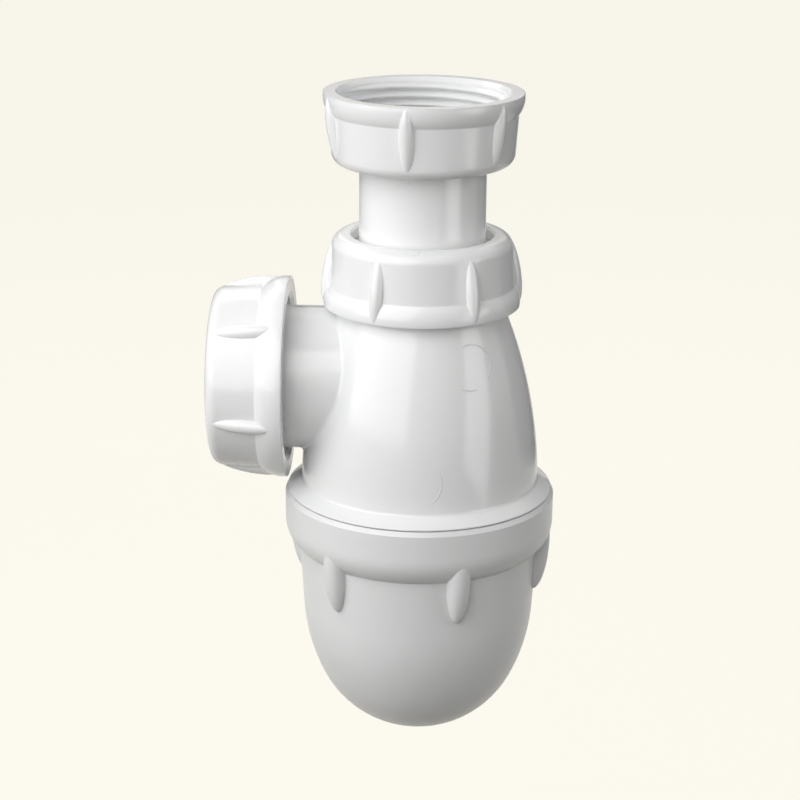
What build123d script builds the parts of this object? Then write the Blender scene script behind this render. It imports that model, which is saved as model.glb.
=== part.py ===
from build123d import *
from math import acos, asin, atan2, cos, radians, sin, sqrt, tan
import os

# A basin bottle trap for 32 mm pipe. Lengths are in millimetres.
# The origin is on the inlet's axis, at the top face of the inlet washer, where the basin waste seats.
# +Z points up and out of the inlet, and the outlet leaves along -X.

# Pipe and thread sizes
tube_od = 32.0
tube_wall = 1.8
tube_clearance = 0.6  # tube to the neck's bore
neck_wall = 2.875  # neck's bore to the root of its thread
pipe_thread_depth = 1.48
thread_clearance = 0.15  # crest of a male thread to the root of the nut's thread, which is the nut's bore
seal_clearance = 0.15  # a rubber ring to the tube, and to its seat
ring_clearance = 0.4  # a slip ring to the tube, and to the nut round it
stack_gap = 0.1  # between pieces that are stacked inside a nut
lead_in = 0.8  # chamfer where a thread starts

# The inlet nut and the neck nut are one moulding. The outlet nut is a stouter one with the same inside.
nut_height = 18.0
outlet_nut_height = 19.5
nut_wall = 1.7  # at the closed end, over the thread
outlet_nut_wall = 1.9
bead_stand = 1.4  # bead over the side
outlet_bead_stand = 2.1
bead_arc = 7.0
outlet_bead_arc = 9.0
nut_end_wall = 3.0
nut_hole_clearance = 2.0  # tube to the nut's hole
nut_draft = 0.9  # how far the side leans out up to the bead
nut_shoulder = 3.0
bead_drop = 1.0  # rim to the bead's widest place
bead_blend = 0.6
rim_round = 0.35
mouth_chamfer = 0.9
relief_depth = 0.4  # groove behind the nut's thread
grip_count = 6
rib_length = 17.0
rib_width = 3.8
rib_rise = 0.4  # nut's side to the rib's axis
rib_level = 9.5  # nut's closed end to the rib's middle
rib_tilt = 9.8  # degrees that a rib leans out towards the rim

# Rings inside the nuts
washer_thickness = 3.0
flange_thickness = 2.6
flange_bearing = 1.2  # flange over the edge of the nut's hole
flange_round = 0.6
slip_ring_thickness = 1.6
seal_height = 6.5
seal_head = 1.5  # part of the seal that stands out of its seat
seal_taper = 17.0  # degrees
seal_foot = 0.8  # rubber's width at its thin end

# Trap body
nut_spacing = 18.0  # tube that shows between the inlet nut and the neck nut
neck_height = 61.0  # seam to the neck's mouth
neck_thread_length = 8.9
bell_base_r = 30.8
bell_wall = 2.3
shoulder_height = 2.6
shoulder_round = 1.0
flange_edge = 0.3
flange_edge_round = 0.2
skirt_wall = 2.7
skirt_length = 9.0
seam_gap = 0.3
outlet_rise = 1.45  # outlet's axis above the middle of the bell
outlet_reach = 53.4  # main axis to the outlet nut's closed end
outlet_wall = 2.15
outlet_bore_clearance = 0.3  # outlet pipe to its socket
socket_length = 10.0
stop_step = 1.8  # ledge that the outlet pipe stops against
outlet_thread_length = 9.6
outlet_blend = 1.2
water_seal = 51.0  # tube's end below the outlet's lowest point

# Cup
cup_thread_depth = 1.3
cup_thread_clearance = 0.3  # crest of the skirt's thread to the cup's bore
collar_wall = 2.25
collar_height = 15.05
collar_round = 7.0  # height of the rounding under the collar
lip_height = 1.1  # bevel round the collar's top
lip_depth = 0.75
ledge_width = 3.6
cup_wall = 2.2
cup_draft = 1.0  # foot of the collar to the widest place of the side's arc
cup_belly = 29.8  # seam to the middle of the side's arc
cup_depth = 67.4  # seam to the lowest point
bowl_step = 2.14  # cup's radius at its belly, less the radius of its ball-shaped bottom
cup_seal_thickness = 2.0
cup_seal_clearance = 0.2
lug_count = 6
lug_length = 22.6
lug_width = 5.9
lug_level = 15.5  # seam to the lug's middle
lug_sink = 3.3  # collar's outside to the lug's axis
lug_tilt = 5.0  # degrees that a lug leans in towards the bottom

# How the nuts and the cup happen to be turned in the photograph, in degrees
inlet_nut_turn = 21.5
neck_nut_turn = -3.3
outlet_nut_turn = 15.5
cup_turn = 50.0

# Radii that follow
tube_r = tube_od / 2
neck_bore_r = tube_r + tube_clearance
thread_root_r = neck_bore_r + neck_wall
thread_r = thread_root_r + pipe_thread_depth
nut_hole_r = tube_r + nut_hole_clearance
nut_bore_r = thread_r + thread_clearance
nut_relief_r = nut_bore_r + relief_depth
flange_r = nut_hole_r + flange_bearing
slip_ring_r = nut_bore_r - ring_clearance
seal_bore_r = tube_r + seal_clearance
socket_r = tube_r + outlet_bore_clearance
bell_bore_r = bell_base_r - bell_wall
skirt_r = bell_bore_r + skirt_wall
cup_bore_r = skirt_r + cup_thread_depth + cup_thread_clearance
collar_r = cup_bore_r + collar_wall
cup_foot_r = cup_bore_r - ledge_width + cup_wall
lip_r = collar_r - lip_depth
lug_axis_r = collar_r - lug_sink

# Levels along the main axis, from the washer's top face down
flange_top = -washer_thickness - stack_gap
flange_bottom = flange_top - flange_thickness
inlet_nut_end = flange_bottom - stack_gap - nut_end_wall
neck_nut_end = inlet_nut_end - nut_spacing
ring_depth = nut_end_wall + stack_gap + slip_ring_thickness + stack_gap  # nut's end to the seal
mouth_depth = ring_depth + seal_head  # nut's end to the mouth under it
neck_mouth = neck_nut_end - mouth_depth
seam = neck_mouth - neck_height
bell_top = neck_height - neck_thread_length
outlet_level = seam + (shoulder_height + bell_top) / 2 + outlet_rise
outlet_mouth = outlet_reach - mouth_depth
outlet_stop_r = socket_r - stop_step
tube_end = outlet_level - outlet_stop_r - water_seal
skirt_end = seam - skirt_length
cup_top = seam - seam_gap
collar_foot = cup_top - collar_height
ledge = skirt_end - stack_gap - cup_seal_thickness - stack_gap

os.makedirs("parts", exist_ok=True)


def save(piece, label):
    """Name a finished piece and write it."""
    piece.label = label
    export_step(piece, f"parts/{label}.step")


def profile_plane(origin, radial, along):
    """A plane to draw half a turned shape on: x is the radius and y runs along the axis."""
    return Plane(origin=origin, x_dir=radial, z_dir=Vector(*radial).cross(Vector(*along)))


# Where each nut's closed end sits, and the way from there to its mouth
inlet_seat = Plane(origin=(0, 0, inlet_nut_end), x_dir=(1, 0, 0), z_dir=(0, 0, 1))
neck_seat = Plane(origin=(0, 0, neck_nut_end), x_dir=(1, 0, 0), z_dir=(0, 0, -1))
outlet_seat = Plane(origin=(-outlet_reach, 0, outlet_level), x_dir=(0, -1, 0), z_dir=(1, 0, 0))

# The two mouths that take a tapered seal, drawn from the mouth outward
neck_profile = profile_plane((0, 0, neck_mouth), (1, 0, 0), (0, 0, 1))
outlet_profile = profile_plane((-outlet_mouth, 0, outlet_level), (0, 0, 1), (-1, 0, 0))


def leaning_plane(radius, height, angle):
    """A plane through the main axis whose y runs up and leans out by an angle."""
    lean = radians(angle)
    return Plane(origin=(radius, 0, height), x_dir=(cos(lean), 0, -sin(lean)), z_dir=(0, -1, 0))


relief_top = nut_end_wall + stack_gap + flange_thickness + stack_gap + washer_thickness


def nut_moulding(height, wall, bead, arc):
    """A nut, standing on its closed end with its mouth up."""
    side_r = nut_bore_r + wall
    bead_r = side_r + nut_draft + bead
    bead_level = height - bead_drop
    bead_foot = bead_level - sqrt(arc**2 - (arc - bead) ** 2)
    rim_r = bead_r - arc + sqrt(arc**2 - bead_drop**2)

    # One grip rib: a slender spindle that lies in the nut's side and leans out towards the rim
    rib_plane = leaning_plane(side_r + rib_rise, rib_level, rib_tilt)
    with BuildPart() as nut_rib:
        with BuildSketch(rib_plane):
            with BuildLine():
                EllipticalCenterArc((0, 0), rib_width / 2, rib_length / 2, start_angle=-90, arc_size=180)
                Line((0, rib_length / 2), (0, -rib_length / 2))
            make_face()
        revolve(axis=Axis(rib_plane.origin, rib_plane.y_dir))

    with BuildPart() as nut_form:
        with BuildSketch(Plane.XZ) as nut_outside:
            bead_corner = (side_r + nut_draft, bead_foot)
            with BuildLine():
                Polyline((0, height), (0, 0), (side_r, 0), bead_corner)
                ThreePointArc(bead_corner, (bead_r, bead_level), (rim_r, height))
                Line((rim_r, height), (0, height))
            make_face()
            fillet(nut_outside.vertices().sort_by_distance((side_r, 0))[0], nut_shoulder)
            fillet(nut_outside.vertices().sort_by_distance((rim_r, height))[0], rim_round)
            fillet(nut_outside.vertices().sort_by_distance(bead_corner)[0], bead_blend)
        revolve(axis=Axis.Z)
        with PolarLocations(0, grip_count):
            add(nut_rib.part)
        with BuildSketch(Plane.XZ):
            with BuildLine():
                RadiusArc((nut_hole_r + rim_round, 0), (nut_hole_r, rim_round), -rim_round)
                Polyline(
                    (nut_hole_r, rim_round),
                    (nut_hole_r, nut_end_wall),
                    (nut_relief_r, nut_end_wall),
                    (nut_relief_r, relief_top),
                    (nut_bore_r, relief_top),
                    (nut_bore_r, height - mouth_chamfer),
                    (nut_bore_r + mouth_chamfer, height),
                    (0, height),
                    (0, 0),
                    (nut_hole_r + rim_round, 0),
                )
            make_face()
        revolve(axis=Axis.Z, mode=Mode.SUBTRACT)
    return nut_form.part


def screw_nut(label, moulding, seat, turn):
    """Set one nut on its seat, turned about its axis."""
    with BuildPart() as nut:
        with Locations(seat.location * Location((0, 0, 0), (0, 0, turn))):
            add(moulding)
    save(nut.part, label)


tube_nut = nut_moulding(nut_height, nut_wall, bead_stand, bead_arc)
side_nut = nut_moulding(outlet_nut_height, outlet_nut_wall, outlet_bead_stand, outlet_bead_arc)
screw_nut("inlet_nut", tube_nut, inlet_seat, inlet_nut_turn)
screw_nut("neck_nut", tube_nut, neck_seat, neck_nut_turn)
screw_nut("outlet_nut", side_nut, outlet_seat, outlet_nut_turn)


# Inlet tube: a plain tube with a flange that the inlet nut pulls up against the waste
with BuildPart() as inlet_tube:
    with BuildSketch(Plane.XZ) as tube_half:
        with BuildLine():
            Polyline(
                (tube_r - tube_wall, tube_end),
                (tube_r, tube_end),
                (tube_r, flange_bottom),
                (flange_r, flange_bottom),
                (flange_r, flange_top),
                (tube_r - tube_wall, flange_top),
                close=True,
            )
        make_face()
        fillet(tube_half.vertices().sort_by_distance((tube_r, flange_bottom))[0], flange_round)
    revolve(axis=Axis.Z)
save(inlet_tube.part, "inlet_tube")


def flat_ring(label, seat, inner_r, outer_r, thickness):
    """A flat ring that lies on a plane and stands up from it."""
    with BuildPart() as ring:
        with BuildSketch(seat):
            Circle(outer_r)
            Circle(inner_r, mode=Mode.SUBTRACT)
        extrude(amount=thickness)
    save(ring.part, label)


washer_seat = Plane.XY.offset(-washer_thickness)
flat_ring("inlet_washer", washer_seat, tube_r - tube_wall, flange_r, washer_thickness)
slip_ring_depth = nut_end_wall + stack_gap
slip_bore_r = tube_r + ring_clearance
for label, seat in (("neck_slip_ring", neck_seat), ("outlet_slip_ring", outlet_seat)):
    flat_ring(label, seat.offset(slip_ring_depth), slip_bore_r, slip_ring_r, slip_ring_thickness)

# Each tapered seal reaches from its thin end, deep in the seat, to its head just outside the mouth
seal_foot_r = seal_bore_r + seal_foot
seal_head_r = seal_foot_r + seal_height * tan(radians(seal_taper))
seal_depth = seal_height - seal_head


def tapered_seal(label, profile):
    """A rubber ring with a straight bore and a tapered outside."""
    with BuildPart() as seal:
        with BuildSketch(profile):
            with BuildLine():
                Polyline(
                    (seal_bore_r, -seal_depth),
                    (seal_foot_r, -seal_depth),
                    (seal_head_r, seal_head),
                    (seal_bore_r, seal_head),
                    close=True,
                )
            make_face()
        revolve(axis=Axis(profile.origin, profile.y_dir))
    save(seal.part, label)


tapered_seal("neck_seal", neck_profile)
tapered_seal("outlet_seal", outlet_profile)

# The seat is the seal's own cone, set back by the clearance, and ends a little below the rubber
seat_end = -seal_depth - 2 * stack_gap
seat_foot_r = seal_foot_r + seal_clearance
seat_mouth_r = seal_head_r - seal_head * (seal_head_r - seal_foot_r) / seal_height + seal_clearance


# Bell: one arc, upright at the seam, that meets the neck at the end of its thread
bell_rise = bell_base_r - thread_root_r
bell_arc = (bell_rise**2 + bell_top**2) / (2 * bell_rise)


def bell_r(height, inset=0.0):
    """Radius of the bell's wall at a height over the seam."""
    return bell_base_r - bell_arc + sqrt((bell_arc - inset) ** 2 - height**2)


bell_inner_top = sqrt((bell_arc - bell_wall) ** 2 - (bell_arc - bell_base_r + neck_bore_r) ** 2)
outlet_r = socket_r + outlet_wall
spigot_start = bell_bore_r / 2 - outlet_mouth
with BuildPart() as trap_body:
    with BuildSketch(Plane.XZ) as body_outside:
        with BuildLine():
            Polyline(
                (0, skirt_end),
                (skirt_r - lead_in, skirt_end),
                (skirt_r, skirt_end + lead_in),
                (skirt_r, seam),
                (lip_r, seam),
                (lip_r, seam + flange_edge),
                (bell_r(shoulder_height), seam + shoulder_height),
            )
            ThreePointArc(
                (bell_r(shoulder_height), seam + shoulder_height),
                (bell_r(bell_top / 2), seam + bell_top / 2),
                (thread_root_r, seam + bell_top),
            )
            Polyline(
                (thread_root_r, seam + bell_top),
                (thread_root_r, neck_mouth - lead_in),
                (thread_root_r - lead_in / 2, neck_mouth),
                (0, neck_mouth),
                (0, skirt_end),
            )
        make_face()
        bell_foot = (bell_r(shoulder_height), seam + shoulder_height)
        fillet(body_outside.vertices().sort_by_distance(bell_foot)[0], shoulder_round)
        flange_corner = (lip_r, seam + flange_edge)
        fillet(body_outside.vertices().sort_by_distance(flange_corner)[0], flange_edge_round)
    revolve(axis=Axis.Z)
    with BuildSketch(outlet_profile):
        with BuildLine():
            Polyline(
                (0, 0),
                (thread_root_r - lead_in / 2, 0),
                (thread_root_r, -lead_in),
                (thread_root_r, -outlet_thread_length),
                (outlet_r, -outlet_thread_length - lead_in),
                (outlet_r, spigot_start),
                (0, spigot_start),
                close=True,
            )
        make_face()
    revolve(axis=Axis(outlet_profile.origin, outlet_profile.y_dir))
    plain = (GeomType.LINE, GeomType.CIRCLE)
    joint_line = trap_body.edges(Select.NEW).filter_by(lambda edge: edge.geom_type not in plain)
    fillet(joint_line, outlet_blend)
    with BuildSketch(Plane.XZ):
        with BuildLine():
            Polyline((0, skirt_end), (bell_bore_r, skirt_end), (bell_bore_r, seam))
            ThreePointArc(
                (bell_bore_r, seam),
                (bell_r(bell_inner_top / 2, bell_wall), seam + bell_inner_top / 2),
                (neck_bore_r, seam + bell_inner_top),
            )
            Polyline(
                (neck_bore_r, seam + bell_inner_top),
                (neck_bore_r, neck_mouth + seat_end),
                (seat_foot_r, neck_mouth + seat_end),
                (seat_foot_r, neck_mouth - seal_depth),
                (seat_mouth_r, neck_mouth),
                (0, neck_mouth),
                (0, skirt_end),
            )
        make_face()
    revolve(axis=Axis.Z, mode=Mode.SUBTRACT)
    with BuildSketch(outlet_profile):
        with BuildLine():
            Polyline(
                (0, 0),
                (seat_mouth_r, 0),
                (seat_foot_r, -seal_depth),
                (seat_foot_r, seat_end),
                (socket_r, seat_end),
                (socket_r, seat_end - socket_length),
                (outlet_stop_r, seat_end - socket_length),
                (outlet_stop_r, spigot_start),
                (0, spigot_start),
                close=True,
            )
        make_face()
    revolve(axis=Axis(outlet_profile.origin, outlet_profile.y_dir), mode=Mode.SUBTRACT)
save(trap_body.part, "trap_body")


# Cup outline: a straight run under the collar, a long arc for the side and a ball-shaped bottom
belly_r = cup_foot_r - cup_draft
bowl_arc = belly_r - bowl_step
bowl_centre = seam - cup_depth + bowl_arc
side_centre = seam - cup_belly
cup_side_arc = (belly_r**2 + (bowl_centre - side_centre) ** 2 - bowl_arc**2) / (2 * bowl_step)
side_centre_r = belly_r - cup_side_arc
foot_angle = atan2(collar_foot - side_centre, cup_foot_r - side_centre_r)
foot_distance = sqrt((cup_foot_r - side_centre_r) ** 2 + (collar_foot - side_centre) ** 2)
run_angle = foot_angle - acos(cup_side_arc / foot_distance)
bowl_angle = atan2(bowl_centre - side_centre, -side_centre_r)
side_angle = (run_angle + bowl_angle) / 2
low_angle = (bowl_angle - radians(90)) / 2


def on_side(angle, inset):
    """A point of the side's arc, set in from the outside."""
    reach = cup_side_arc - inset
    return (side_centre_r + reach * cos(angle), side_centre + reach * sin(angle))


def on_bowl(angle, inset):
    """A point of the ball-shaped bottom, set in from the outside."""
    reach = bowl_arc - inset
    return (reach * cos(angle), bowl_centre + reach * sin(angle))


collar_rise = collar_r - cup_foot_r
collar_arc = (collar_rise**2 + collar_round**2) / (2 * collar_rise)
collar_arc_angle = asin(collar_round / collar_arc) / 2
collar_arc_level = collar_foot + collar_round
inner_foot = (cup_foot_r - cup_wall * cos(run_angle), collar_foot - cup_wall * sin(run_angle))

# One lug: a spindle whose upper half is buried in the collar
lug_plane = leaning_plane(lug_axis_r, seam - lug_level, lug_tilt)
with BuildPart() as lug:
    with BuildSketch(lug_plane):
        with BuildLine():
            EllipticalCenterArc((0, 0), lug_width / 2, lug_length / 2, start_angle=-90, arc_size=180)
            Line((0, lug_length / 2), (0, -lug_length / 2))
        make_face()
    revolve(axis=Axis(lug_plane.origin, lug_plane.y_dir))

with BuildPart() as cup:
    with BuildSketch(Plane.XZ):
        with BuildLine():
            Polyline(
                (0, cup_top),
                (lip_r, cup_top),
                (collar_r, cup_top - lip_height),
                (collar_r, collar_arc_level),
            )
            ThreePointArc(
                (collar_r, collar_arc_level),
                (
                    collar_r - collar_arc * (1 - cos(collar_arc_angle)),
                    collar_arc_level - collar_arc * sin(collar_arc_angle),
                ),
                (cup_foot_r, collar_foot),
            )
            Line((cup_foot_r, collar_foot), on_side(run_angle, 0))
            ThreePointArc(on_side(run_angle, 0), on_side(side_angle, 0), on_side(bowl_angle, 0))
            ThreePointArc(on_side(bowl_angle, 0), on_bowl(low_angle, 0), (0, bowl_centre - bowl_arc))
            Line((0, bowl_centre - bowl_arc), (0, cup_top))
        make_face()
    revolve(axis=Axis.Z)
    with PolarLocations(0, lug_count, start_angle=cup_turn):
        add(lug.part)
    with BuildSketch(Plane.XZ):
        with BuildLine():
            Polyline(
                (0, cup_top),
                (cup_bore_r + lead_in, cup_top),
                (cup_bore_r, cup_top - lead_in),
                (cup_bore_r, ledge),
                (cup_foot_r - cup_wall, ledge),
                inner_foot,
                on_side(run_angle, cup_wall),
            )
            ThreePointArc(
                on_side(run_angle, cup_wall), on_side(side_angle, cup_wall), on_side(bowl_angle, cup_wall)
            )
            inner_low = (0, bowl_centre - bowl_arc + cup_wall)
            ThreePointArc(on_side(bowl_angle, cup_wall), on_bowl(low_angle, cup_wall), inner_low)
            Line(inner_low, (0, cup_top))
        make_face()
    revolve(axis=Axis.Z, mode=Mode.SUBTRACT)
save(cup.part, "cup")

seal_plane = Plane.XY.offset(ledge + stack_gap)
cup_seal_r = cup_bore_r - cup_seal_clearance * 2
flat_ring("cup_seal", seal_plane, cup_foot_r - cup_wall, cup_seal_r, cup_seal_thickness)
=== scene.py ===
import math

import bmesh
import bpy
from mathutils import Matrix, Vector


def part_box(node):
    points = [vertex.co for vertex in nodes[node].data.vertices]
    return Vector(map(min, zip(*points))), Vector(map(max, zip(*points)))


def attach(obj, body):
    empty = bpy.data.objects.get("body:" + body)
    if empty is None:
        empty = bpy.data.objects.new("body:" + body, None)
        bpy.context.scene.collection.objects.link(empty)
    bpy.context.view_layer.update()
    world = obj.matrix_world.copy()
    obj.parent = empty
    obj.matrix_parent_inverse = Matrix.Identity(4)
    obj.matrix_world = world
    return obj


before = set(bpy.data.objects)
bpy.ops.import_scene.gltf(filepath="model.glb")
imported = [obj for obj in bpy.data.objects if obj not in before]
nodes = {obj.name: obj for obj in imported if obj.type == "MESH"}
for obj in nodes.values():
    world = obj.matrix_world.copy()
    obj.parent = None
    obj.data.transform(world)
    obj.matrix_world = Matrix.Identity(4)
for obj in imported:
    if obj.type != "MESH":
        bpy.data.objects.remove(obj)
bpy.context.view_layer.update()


# Trap body.
# The neck, bell, side outlet and threaded skirt are one injection moulding in white polypropylene.
# Its outside is polished by the mould: glossy, with a faint flow mottle and the fine scuffs of handling.
MM = 0.001
seam = -0.0941
outlet_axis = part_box("outlet_nut")[0].z / 2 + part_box("outlet_nut")[1].z / 2
neck_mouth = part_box("trap_body")[1].z


def socket(group, name, kind, way, value=None):
    made = group.interface.new_socket(name=name, in_out=way, socket_type="NodeSocket" + kind)
    if value is not None:
        made.default_value = value


def maths(tree, operation, *terms):
    """A Math node fed by sockets or plain numbers. Gives its result."""
    made = tree.nodes.new("ShaderNodeMath")
    made.operation = operation
    for entry, term in zip(made.inputs, terms):
        if isinstance(term, (int, float)):
            entry.default_value = term
        else:
            tree.links.new(term, entry)
    return made.outputs[0]


def moulded_skin():
    """Node group: flow mottle, mould polish and handling scuffs of a moulded plastic surface."""
    group = bpy.data.node_groups.new("moulded skin", "ShaderNodeTree")
    socket(group, "Tone", "Color", "INPUT", (0.8, 0.8, 0.8, 1))
    socket(group, "Flow tone", "Color", "INPUT", (0.75, 0.75, 0.75, 1))
    socket(group, "Flow size", "Float", "INPUT", 60.0)
    socket(group, "Polish", "Float", "INPUT", 0.25)
    socket(group, "Scuffs", "Float", "INPUT", 0.1)
    socket(group, "Colour", "Color", "OUTPUT")
    socket(group, "Roughness", "Float", "OUTPUT")
    socket(group, "Height", "Float", "OUTPUT")
    n, wire = group.nodes, group.links.new
    take, give = n.new("NodeGroupInput"), n.new("NodeGroupOutput")
    place = n.new("ShaderNodeTexCoord")

    flow = n.new("ShaderNodeTexNoise")
    flow.inputs["Detail"].default_value = 3
    flow.inputs["Distortion"].default_value = 0.8
    wire(place.outputs["Object"], flow.inputs["Vector"])
    wire(take.outputs["Flow size"], flow.inputs["Scale"])
    tint = n.new("ShaderNodeMix")
    tint.data_type = "RGBA"
    wire(flow.outputs["Fac"], tint.inputs["Factor"])
    wire(take.outputs["Tone"], tint.inputs["A"])
    wire(take.outputs["Flow tone"], tint.inputs["B"])
    wire(tint.outputs["Result"], give.inputs["Colour"])

    scuffs = []
    for turn, stretch in ((0.5, (2600, 110, 160)), (2.1, (140, 2300, 120))):
        lay = n.new("ShaderNodeMapping")
        lay.inputs["Rotation"].default_value = (turn, turn * 0.7, turn * 1.3)
        lay.inputs["Scale"].default_value = stretch
        hair = n.new("ShaderNodeTexNoise")
        hair.inputs["Scale"].default_value = 1.0
        hair.inputs["Detail"].default_value = 2
        pick = n.new("ShaderNodeMapRange")
        pick.inputs["From Min"].default_value = 0.66
        pick.inputs["From Max"].default_value = 0.74
        wire(place.outputs["Object"], lay.inputs["Vector"])
        wire(lay.outputs["Vector"], hair.inputs["Vector"])
        wire(hair.outputs["Fac"], pick.inputs["Value"])
        scuffs.append(pick.outputs["Result"])
    worn = maths(group, "MULTIPLY", maths(group, "MAXIMUM", *scuffs), take.outputs["Scuffs"])
    flow_haze = 0.08
    haze = maths(group, "MULTIPLY_ADD", flow.outputs["Fac"], flow_haze, take.outputs["Polish"])
    wire(maths(group, "ADD", haze, worn), give.inputs["Roughness"])

    peel = n.new("ShaderNodeTexNoise")
    peel.inputs["Scale"].default_value = 420
    peel.inputs["Detail"].default_value = 2
    wire(place.outputs["Object"], peel.inputs["Vector"])
    sink_over_peel = 2.5
    sink = maths(group, "MULTIPLY_ADD", flow.outputs["Fac"], sink_over_peel, peel.outputs["Fac"])
    wire(sink, give.inputs["Height"])
    return group


skin = moulded_skin()


def moulded_plastic(name, tone, flow_tone, flow_size, polish, scuffs, ripple, glow):
    """A moulded plastic: the skin drives colour, roughness and bump, and light sinks a little way in."""
    material = bpy.data.materials.new(name)
    material.use_nodes = True
    n, wire = material.node_tree.nodes, material.node_tree.links.new
    shade = n["Principled BSDF"]
    surface = n.new("ShaderNodeGroup")
    surface.node_tree = skin
    surface.inputs["Tone"].default_value = (*tone, 1)
    surface.inputs["Flow tone"].default_value = (*flow_tone, 1)
    surface.inputs["Flow size"].default_value = flow_size
    surface.inputs["Polish"].default_value = polish
    surface.inputs["Scuffs"].default_value = scuffs
    bump = n.new("ShaderNodeBump")
    bump.inputs["Strength"].default_value = 1.0
    bump.inputs["Distance"].default_value = ripple
    wire(surface.outputs["Colour"], shade.inputs["Base Color"])
    wire(surface.outputs["Roughness"], shade.inputs["Roughness"])
    wire(surface.outputs["Height"], bump.inputs["Height"])
    wire(bump.outputs["Normal"], shade.inputs["Normal"])
    shade.inputs["IOR"].default_value = 1.49
    shade.inputs["Subsurface Weight"].default_value = glow
    shade.inputs["Subsurface Radius"].default_value = (1.0, 0.95, 0.85)
    shade.inputs["Subsurface Scale"].default_value = 1.2 * MM
    return material


def finish_node(name, material):
    """Gives a carried-over solid its finish."""
    mesh = nodes[name].data
    mesh.materials.clear()
    mesh.materials.append(material)
    for face in mesh.polygons:
        face.material_index = 0


def add_piece(name, shape, material, body):
    """Turns finished bmesh work into a piece that rides on a body."""
    mesh = bpy.data.meshes.new(name)
    bmesh.ops.recalc_face_normals(shape, faces=shape.faces)
    shape.to_mesh(mesh)
    shape.free()
    mesh.materials.append(material)
    mesh.shade_smooth()
    piece = bpy.data.objects.new(name, mesh)
    bpy.context.collection.objects.link(piece)
    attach(piece, body)
    return piece


def loft(rings):
    """Skins a row of equal rings of points and closes both ends."""
    shape = bmesh.new()
    rows = [[shape.verts.new(point) for point in ring] for ring in rings]
    for here, there in zip(rows, rows[1:]):
        for k in range(len(here)):
            shape.faces.new((here[k - 1], here[k], there[k], there[k - 1]))
    shape.faces.new(rows[0])
    shape.faces.new(reversed(rows[-1]))
    return shape


def ease(x):
    x = min(max(x, 0), 1)
    return x * x * (3 - 2 * x)


def thread_ridge(seat, root_r, crest_r, pitch, foot, crest, low, high, start):
    """A right-hand screw thread's ridge in mm about a seat's z axis, running out into the wall at both ends."""
    turns = (high - low) / pitch
    steps = int(turns * 96)
    out = 1 if crest_r > root_r else -1
    tall = abs(crest_r - root_r)
    rings = []
    for i in range(steps + 1):
        swept = turns * i / steps
        angle = 2 * math.pi * (swept + start)
        level = low + pitch * swept
        rise = ease(swept * 7) * ease((turns - swept) * 7)
        narrow = 0.35 + 0.65 * rise
        outline = (
            (-0.12, -foot / 2),
            (0.05 * tall * rise, -foot / 2),
            (0.82 * tall * rise, -(crest + 0.22 * (foot - crest)) / 2),
            (0.97 * tall * rise, -crest * 0.42),
            (1.0 * tall * rise, 0),
            (0.97 * tall * rise, crest * 0.42),
            (0.82 * tall * rise, (crest + 0.22 * (foot - crest)) / 2),
            (0.05 * tall * rise, foot / 2),
            (-0.12, foot / 2),
        )
        ring = []
        for height, across in outline:
            reach = root_r + out * (height if height > 0 else height * (2 - rise))
            z = level + across * narrow
            ring.append(seat @ (Vector((reach * math.cos(angle), reach * math.sin(angle), z)) * MM))
        rings.append(ring)
    return loft(rings)


body_white = moulded_plastic(
    "glossy white polypropylene, body", (0.88, 0.884, 0.886), (0.85, 0.854, 0.856), 45, 0.12, 0.01, 0.00001, 0.25
)
finish_node("trap_body", body_white)

upright = Matrix.Identity(4)
pipe_root, pipe_crest, pipe_pitch = 19.475, 20.955, 2.309
ridge_foot, ridge_top = 1.75, 0.35
neck_top = neck_mouth / MM
neck_low, neck_start = neck_top - 8.0, 0.3
neck_thread = thread_ridge(
    upright, pipe_root, pipe_crest, pipe_pitch, ridge_foot, ridge_top, neck_low, neck_top - 0.95, neck_start
)
add_piece("neck_thread", neck_thread, body_white, "trap")

outlet_seat = Matrix.Translation((0, 0, outlet_axis)) @ Matrix(
    ((0, 0, -1, 0), (1, 0, 0, 0), (0, -1, 0, 0), (0, 0, 0, 1))
)
outlet_low, outlet_high, outlet_start = 38.3, 46.1, 0.1
outlet_thread = thread_ridge(
    outlet_seat, pipe_root, pipe_crest, pipe_pitch, ridge_foot, ridge_top, outlet_low, outlet_high, outlet_start
)
add_piece("outlet_thread", outlet_thread, body_white, "trap")

skirt_root, skirt_crest, cup_pitch = 31.2, 32.5, 4.0
coarse_foot, coarse_top = 2.2, 0.8
skirt_low, skirt_high, skirt_start = -102.2, -95.7, 0.6
skirt_thread = thread_ridge(
    upright, skirt_root, skirt_crest, cup_pitch, coarse_foot, coarse_top, skirt_low, skirt_high, skirt_start
)
add_piece("skirt_thread", skirt_thread, body_white, "trap")


# Parting line.
# The body's two mould halves meet on the plane through both axes, and leave a hair-fine raised line
# down the side of the bell and along the top and the underside of the outlet.
def fine_line(points, normals, width, height):
    """A hair-fine raised line along a path on a surface, in mm."""
    rings = []
    for i, (point, normal) in enumerate(zip(points, normals)):
        along = (points[min(i + 1, len(points) - 1)] - points[max(i - 1, 0)]).normalized()
        side = along.cross(normal).normalized()
        edge = min(i, len(points) - 1 - i)
        rise = height * ease(edge / 3)
        outline = ((-0.5, -0.06), (-0.5, 0.0), (-0.25, 0.8), (0, 1), (0.25, 0.8), (0.5, 0.0), (0.5, -0.06))
        ring = []
        for across, up in outline:
            lift = up * rise if up > 0 else up
            ring.append((point + side * across * width + normal * lift) * MM)
        rings.append(ring)
    return loft(rings)


bell_arc, bell_foot = 125.5, 30.8


def bell_radius(height):
    return bell_foot - bell_arc + math.sqrt(bell_arc**2 - height**2)


def bell_point(angle, height):
    """A point on the bell in mm, by its angle round the axis and its height over the seam."""
    r = bell_radius(height)
    return Vector((r * math.cos(angle), r * math.sin(angle), seam / MM + height))


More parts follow.
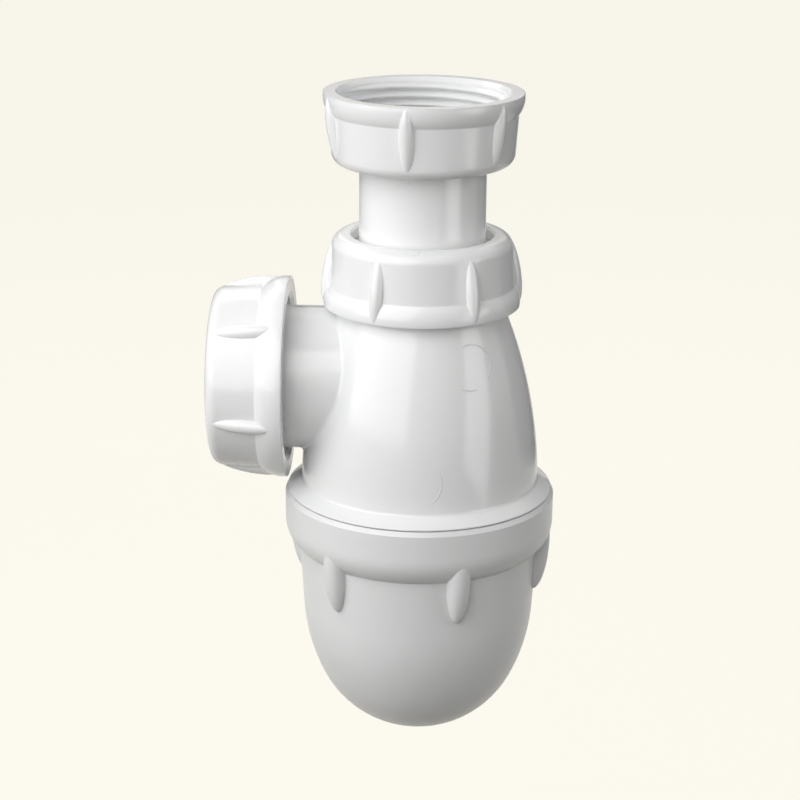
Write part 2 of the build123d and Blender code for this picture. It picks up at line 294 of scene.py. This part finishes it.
def bell_normal(angle, height):
    slope = math.asin(height / bell_arc)
    flat = math.cos(slope)
    return Vector((flat * math.cos(angle), flat * math.sin(angle), math.sin(slope)))


line_width, line_height = 0.3, 0.05
line_foot, line_length = 4.2, 47
levels = [line_foot + line_length * i / 60 for i in range(61)]
side_line = fine_line(
    [bell_point(0, h) for h in levels], [bell_normal(0, h) for h in levels], line_width, line_height
)
add_piece("parting_line_bell", side_line, body_white, "trap")
pipe_r, pipe_end = 18.45, 36.2
for place, way, inner in (("top", 1, -25.0), ("under", -1, -33.0)):
    level = outlet_axis / MM + way * pipe_r
    run = [Vector((inner - (pipe_end + inner) * i / 24, 0, level)) for i in range(25)]
    line = fine_line(run, [Vector((0, 0, way))] * 25, line_width, line_height)
    add_piece(f"parting_line_{place}", line, body_white, "trap")


# Mould marks on the bell.
# An insert in the mould leaves a rounded outline on the front of the bell, and the plastic's flow front
# a faint curved line beside it. Both stand out by about a tenth of a millimetre.
def on_bell(places):
    """Points and normals on the bell at places given as degrees round the axis and height over the seam."""
    turned = [(math.radians(angle), height) for angle, height in places]
    return [bell_point(*place) for place in turned], [bell_normal(*place) for place in turned]


def smooth_path(places, steps):
    """Catmull-Rom points through a row of pairs."""
    ends = [places[0], *places, places[-1]]
    path = []
    for a, b, c, d in zip(ends, ends[1:], ends[2:], ends[3:]):
        for i in range(steps):
            t = i / steps
            path.append(tuple(
                0.5 * (2 * q + (r - p) * t + (2 * p - 5 * q + 4 * r - s) * t**2 + (3 * q - p - 3 * r + s) * t**3)
                for p, q, r, s in zip(a, b, c, d)
            ))
    path.append(places[-1])
    return path


bell_marks = {
    "insert_outline": (
        (-62.6, 43.3), (-58.2, 43.9), (-53.5, 43.6), (-48.8, 42.6),
        (-45.2, 41.0), (-44.0, 39.3), (-44.8, 37.6), (-47.9, 35.3),
    ),
    "insert_foot": ((-65.6, 33.6), (-61.0, 33.1), (-56.6, 33.0)),
    "flow_line": ((-79.3, 14.2), (-78.2, 11.9), (-78.4, 9.4), (-80.3, 7.4), (-82.6, 5.8)),
}
mark_width, mark_height = 0.36, 0.09
for mark, places in bell_marks.items():
    points, normals = on_bell(smooth_path(places, 8))
    line = fine_line(points, normals, mark_width, mark_height)
    add_piece(mark, line, body_white, "trap")


# Outlet's rubber and slip ring.
# A tapered EPDM ring sits in the outlet's mouth and grips the waste pipe. A thin ring of natural
# polyethylene lies on it, so that the nut can turn without dragging the rubber round.
def sealing_rubber(name, dark, light):
    """Matt rubber with the bloom and fine grain of a moulded seal."""
    material = bpy.data.materials.new(name)
    material.use_nodes = True
    n, wire = material.node_tree.nodes, material.node_tree.links.new
    shade = n["Principled BSDF"]
    place = n.new("ShaderNodeTexCoord")
    bloom = n.new("ShaderNodeTexNoise")
    bloom.inputs["Scale"].default_value = 180
    bloom.inputs["Detail"].default_value = 4
    colour = n.new("ShaderNodeValToRGB")
    colour.color_ramp.elements[0].color = (*dark, 1)
    colour.color_ramp.elements[1].color = (*light, 1)
    rough = n.new("ShaderNodeMapRange")
    rough.inputs["To Min"].default_value = 0.55
    rough.inputs["To Max"].default_value = 0.8
    grain = n.new("ShaderNodeTexNoise")
    grain.inputs["Scale"].default_value = 2600
    bump = n.new("ShaderNodeBump")
    bump.inputs["Distance"].default_value = 0.00003
    wire(place.outputs["Object"], bloom.inputs["Vector"])
    wire(place.outputs["Object"], grain.inputs["Vector"])
    wire(bloom.outputs["Fac"], colour.inputs["Fac"])
    wire(colour.outputs["Color"], shade.inputs["Base Color"])
    wire(bloom.outputs["Fac"], rough.inputs["Value"])
    wire(rough.outputs["Result"], shade.inputs["Roughness"])
    wire(grain.outputs["Fac"], bump.inputs["Height"])
    wire(bump.outputs["Normal"], shade.inputs["Normal"])
    shade.inputs["IOR"].default_value = 1.52
    return material


rubber = sealing_rubber("black EPDM rubber", (0.018, 0.018, 0.02), (0.055, 0.055, 0.056))
ring_plastic = moulded_plastic(
    "natural polyethylene", (0.78, 0.78, 0.73), (0.7, 0.7, 0.65), 90, 0.38, 0.03, 0.00001, 0.3
)
finish_node("outlet_seal", rubber)
finish_node("outlet_slip_ring", ring_plastic)


# Outlet nut.
# A ribbed compression nut in the same white plastic. It screws onto the outlet with its mouth
# towards the bell, and its thread presses ring and rubber into the mouth.
nut_root, nut_crest = 21.105, 19.625
nut_white = moulded_plastic(
    "glossy white polypropylene, nuts", (0.89, 0.894, 0.896), (0.865, 0.87, 0.872), 60, 0.14, 0.01, 0.00001, 0.25
)
finish_node("outlet_nut", nut_white)
outlet_nut_low, outlet_nut_high = 36.4, 44.1
outlet_phase = outlet_start - (outlet_low - outlet_nut_low) / pipe_pitch + 0.5
nut_thread = thread_ridge(
    outlet_seat, nut_root, nut_crest, pipe_pitch, ridge_foot, ridge_top, outlet_nut_low, outlet_nut_high, outlet_phase
)
add_piece("outlet_nut_thread", nut_thread, nut_white, "outlet nut")


def rim_flash(seat, rim_r, mouth, way):
    """The hair-fine lip that the mould's parting leaves round the outer edge of a nut's mouth."""
    lean = math.sqrt(0.5)
    bedded = 0.1
    first, swept, steps = 95, 359, 240
    points, normals = [], []
    for i in range(steps + 1):
        turn = math.radians(first + swept * i / steps)
        across = Vector((math.cos(turn), math.sin(turn), 0))
        point = across * (rim_r - bedded) + Vector((0, 0, mouth - way * bedded))
        points.append((seat @ (point * MM)) / MM)
        normals.append(seat.to_3x3() @ (across * lean + Vector((0, 0, way * lean))))
    return fine_line(points, normals, 0.3, 0.1)


outlet_rim_r = 25.949
outlet_flash = rim_flash(outlet_seat, outlet_rim_r, -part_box("outlet_nut")[1].x / MM, -1)
add_piece("outlet_nut_flash", outlet_flash, nut_white, "outlet nut")


# Neck's rubber, slip ring and nut.
# The same three pieces again, round the tube: the tapered ring lets it turn and slide for height,
# and the nut, mouth down, holds it.
finish_node("neck_seal", rubber)
finish_node("neck_slip_ring", ring_plastic)
finish_node("neck_nut", nut_white)
neck_nut_low = neck_top - 10.2
neck_phase = neck_start - (neck_low - neck_nut_low) / pipe_pitch + 0.5
neck_nut_thread = thread_ridge(
    upright, nut_root, nut_crest, pipe_pitch, ridge_foot, ridge_top, neck_nut_low, neck_top - 3.1, neck_phase
)
add_piece("neck_nut_thread", neck_nut_thread, nut_white, "neck nut")
nut_rim_r = 25.033
neck_flash = rim_flash(upright, nut_rim_r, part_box("neck_nut")[0].z / MM, -1)
add_piece("neck_nut_flash", neck_flash, nut_white, "neck nut")


def low_dome(middle, normal, radius, height):
    """A low round mark in mm, such as a gate or an ejector pin leaves."""
    side = normal.orthogonal().normalized()
    across = normal.cross(side)
    rings = []
    for reach, rise in ((1.0, -0.4), (1.0, 0.35), (0.85, 0.8), (0.55, 1.0), (0.2, 0.9)):
        ring = []
        for k in range(28):
            turn = 2 * math.pi * k / 28
            out = side * math.cos(turn) + across * math.sin(turn)
            ring.append((middle + out * reach * radius + normal * rise * height) * MM)
        rings.append(ring)
    return loft(rings)


gate_reach, gate_sunk = 20.8, 0.17
gate_radius, gate_height = 0.42, 0.2
for k, around in enumerate((-91.2, -87.4)):
    turn = math.radians(around)
    outward = Vector((math.cos(turn), math.sin(turn), 0))
    spot = outward * gate_reach + Vector((0, 0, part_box("neck_nut")[1].z / MM - gate_sunk))
    gate = low_dome(spot, outward * 0.332 + Vector((0, 0, 0.943)), gate_radius, gate_height)
    add_piece(f"neck_nut_gate_{k + 1}", gate, nut_white, "neck nut")


# Inlet tube and washer.
# A plain tube in the same plastic, with a flange at the top and its end deep in the cup's water.
# The pale rubber washer on the flange meets the basin waste.
# The tube's white is a shade lighter than the body's and the nuts': painted light on the top of the trap.
tube_white_painted_light = moulded_plastic(
    "glossy white polypropylene, tube", (0.91, 0.914, 0.916), (0.89, 0.894, 0.896), 35, 0.12, 0.008, 0.000008, 0.25
)
finish_node("inlet_tube", tube_white_painted_light)
tube_r = 16
burr_turn, burr_level = -103.2, -10.9
burr_width, burr_height = 0.3, 0.14
burr_path = []
for i in range(9):
    turn = math.radians(burr_turn + 0.35 * i)
    burr_path.append(Vector((tube_r * math.cos(turn), tube_r * math.sin(turn), burr_level + 0.02 * i)))
burr = fine_line(burr_path, [Vector((p.x, p.y, 0)) / tube_r for p in burr_path], burr_width, burr_height)
add_piece("tube_burr", burr, tube_white_painted_light, "inlet")
pale_rubber = sealing_rubber("white filled rubber", (0.66, 0.66, 0.64), (0.75, 0.75, 0.73))
finish_node("inlet_washer", pale_rubber)


# Inlet nut.
# The third nut, turned mouth up. Inside its rim the start of the thread shows, and the ridges
# go down to the washer.
finish_node("inlet_nut", nut_white)
inlet_foot, inlet_top = 1.95, 0.3
inlet_low, inlet_high, inlet_start = 0.8, 7.4, 0.61
inlet_thread = thread_ridge(
    upright, nut_root, nut_crest, pipe_pitch, inlet_foot, inlet_top, inlet_low, inlet_high, inlet_start
)
add_piece("inlet_nut_thread", inlet_thread, nut_white, "inlet nut")
inlet_flash = rim_flash(upright, nut_rim_r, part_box("inlet_nut")[1].z / MM, 1)
add_piece("inlet_nut_flash", inlet_flash, nut_white, "inlet nut")


# Cup and its seal.
# The cup holds the water seal and unscrews for cleaning, by hand or by its lugs. A flat rubber ring
# on the ledge inside its collar meets the end of the body's skirt.
# The cup's white is darker than the body's and the nuts': painted shade on the bottom of the trap.
cup_white_painted_shade = moulded_plastic(
    "glossy white polypropylene, cup", (0.815, 0.82, 0.822), (0.79, 0.795, 0.797), 40, 0.26, 0.012, 0.00001, 0.25
)
finish_node("cup", cup_white_painted_shade)
finish_node("cup_seal", rubber)
cup_root, cup_crest = 32.8, 31.5
cup_low, cup_high = -102.6, -96.3
cup_phase = skirt_start + (cup_low - skirt_low) / cup_pitch + 0.5
cup_thread = thread_ridge(
    upright, cup_root, cup_crest, cup_pitch, coarse_foot, coarse_top, cup_low, cup_high, cup_phase
)
add_piece("cup_thread", cup_thread, cup_white_painted_shade, "cup")
sprue_radius, sprue_height, sprue_sunk = 1.6, 0.3, 0.05
sprue_spot = Vector((0, 0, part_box("cup")[0].z / MM + sprue_sunk))
sprue = low_dome(sprue_spot, Vector((0, 0, -1)), sprue_radius, sprue_height)
add_piece("cup_gate", sprue, cup_white_painted_shade, "cup")


# Studio.
# A plain cream floor well below the hanging trap, which keeps its soft shadow, and the same cream all
# round it. A broad lamp stands close at the upper left, weaker ones at the right and behind, and black
# flags behind the trap are mirrored in its turned-away edges, as the photograph's dark rims are.
cream = (0.957, 0.930, 0.850)


def seen_directly(tree):
    """One where the background is looked at, straight or in a reflection or through glass."""
    path = tree.nodes.new("ShaderNodeLightPath")
    plain = maths(tree, "MAXIMUM", path.outputs["Is Camera Ray"], path.outputs["Is Glossy Ray"])
    return maths(tree, "MAXIMUM", plain, path.outputs["Is Transmission Ray"])


world = bpy.data.worlds.new("studio")
bpy.context.scene.world = world
world.use_nodes = True
n, wire = world.node_tree.nodes, world.node_tree.links.new
air = n["Background"]
air.inputs["Color"].default_value = (1, 1, 1, 1)
air.inputs["Strength"].default_value = 0.16
wall = n.new("ShaderNodeBackground")
wall.inputs["Color"].default_value = (*cream, 1)
wall.inputs["Strength"].default_value = 1
which = n.new("ShaderNodeMixShader")
wire(seen_directly(world.node_tree), which.inputs["Fac"])
wire(air.outputs[0], which.inputs[1])
wire(wall.outputs[0], which.inputs[2])
wire(which.outputs[0], n["World Output"].inputs["Surface"])

floor_mesh = bpy.data.meshes.new("floor")
half, depth = 6, -0.3
floor_corners = [(-half, -half, depth), (half, -half, depth), (half, half, depth), (-half, half, depth)]
floor_mesh.from_pydata(floor_corners, [], [(0, 1, 2, 3)])
floor = bpy.data.objects.new("floor", floor_mesh)
bpy.context.collection.objects.link(floor)
paper = bpy.data.materials.new("cream paper floor")
paper.use_nodes = True
n, wire = paper.node_tree.nodes, paper.node_tree.links.new
matt = n["Principled BSDF"]
matt.inputs["Roughness"].default_value = 0.9
path = n.new("ShaderNodeLightPath")
own = n.new("ShaderNodeMix")
own.data_type = "RGBA"
own.inputs["A"].default_value = (0.07, 0.069, 0.066, 1)
own.inputs["B"].default_value = (*cream, 1)
shine = n.new("ShaderNodeEmission")
shine.inputs["Color"].default_value = (0.985, 0.958, 0.873, 1)
amount = n.new("ShaderNodeMix")
amount.inputs["A"].default_value = 0.4
amount.inputs["B"].default_value = 0.94
mixed = n.new("ShaderNodeMixShader")
direct = seen_directly(paper.node_tree)
wire(direct, own.inputs["Factor"])
wire(own.outputs["Result"], matt.inputs["Base Color"])
wire(path.outputs["Is Camera Ray"], amount.inputs["Factor"])
wire(maths(paper.node_tree, "MULTIPLY", direct, amount.outputs["Result"]), mixed.inputs["Fac"])
wire(matt.outputs[0], mixed.inputs[1])
wire(shine.outputs[0], mixed.inputs[2])
wire(mixed.outputs[0], n["Material Output"].inputs["Surface"])
floor_mesh.materials.append(paper)

flag_black = bpy.data.materials.new("black flag")
flag_black.use_nodes = True
cloth = flag_black.node_tree.nodes["Principled BSDF"]
cloth.inputs["Base Color"].default_value = (0.03, 0.03, 0.03, 1)
cloth.inputs["Roughness"].default_value = 0.9
flag_edges = {
    "flag_left": ((-0.2, 0.6), (-0.85, 0.35), -0.29, 0.4),
    "flag_right": ((0.2, 0.6), (0.85, 0.35), -0.29, 0.4),
    "flag_top": ((-0.2, 0.6), (0.2, 0.6), -0.04, 0.11),
}
for name, (near, far, bottom, top) in flag_edges.items():
    sheet = bpy.data.meshes.new(name)
    corners = [(*near, bottom), (*far, bottom), (*far, top), (*near, top)]
    sheet.from_pydata(corners, [], [(0, 1, 2, 3)])
    sheet.materials.append(flag_black)
    flag = bpy.data.objects.new(name, sheet)
    bpy.context.collection.objects.link(flag)
    flag.visible_camera = False
    flag.visible_shadow = False


def soft_lamp(name, place, aim, wide, tall, power, lean=0.0):
    """A rectangular lamp that the camera doesn't see, leaning about its own axis."""
    lamp = bpy.data.lights.new(name, "AREA")
    lamp.shape = "RECTANGLE"
    lamp.size = wide
    lamp.size_y = tall
    lamp.energy = power
    holder = bpy.data.objects.new(name, lamp)
    bpy.context.collection.objects.link(holder)
    facing = (Vector(aim) - Vector(place)).to_track_quat("-Z", "Y").to_matrix().to_4x4()
    holder.matrix_world = Matrix.Translation(place) @ facing @ Matrix.Rotation(lean, 4, "Z")
    holder.visible_camera = False
    return holder


soft_lamp("key", (-0.35, -0.35, 0.23), (0, 0, -0.035), 0.82, 0.7, 4.6)
fill = soft_lamp("fill", (0.88, -0.15, 0.22), (0, 0, -0.05), 0.5, 0.5, 1.9)
fill.visible_glossy = False
window = soft_lamp("window", (0.64, -0.32, 0.0), (0, 0, -0.07), 0.34, 0.55, 1.7, -0.45)
window.visible_diffuse = False
soft_lamp("back_left", (-0.45, 0.65, 0.45), (0, 0, -0.08), 0.6, 0.6, 3.0)
back_right = soft_lamp("back_right", (0.5, 0.7, 0.4), (0, 0, -0.08), 0.6, 0.6, 2.3)
back_right.visible_glossy = False


# Camera.
# A long lens half a metre away, looking a little down, as the photograph was taken.
away, pitch, roll, turn = 0.5485, math.radians(18.11), math.radians(0.51), math.radians(2)
sideways, upwards = 0.00508, -0.0218
right = Vector((math.cos(roll), math.sin(roll) * math.sin(pitch), math.sin(roll) * math.cos(pitch)))
up = Vector((-math.sin(roll), math.cos(roll) * math.sin(pitch), math.cos(roll) * math.cos(pitch)))
forward = Vector((0, math.cos(pitch), -math.sin(pitch)))
spot = -right * sideways - up * upwards - forward * away
swing = Matrix.Rotation(turn, 4, "Z")
axes = Matrix((right, up, -forward)).transposed().to_4x4()
lens = bpy.data.cameras.new("camera")
lens.lens = 94.05
lens.sensor_width = 36
lens.clip_start = 0.01
camera = bpy.data.objects.new("camera", lens)
bpy.context.collection.objects.link(camera)
camera.matrix_world = Matrix.Translation((0, 0, seam)) @ swing @ Matrix.Translation(spot) @ axes
bpy.context.scene.camera = camera
bpy.context.scene.view_settings.view_transform = "Standard"
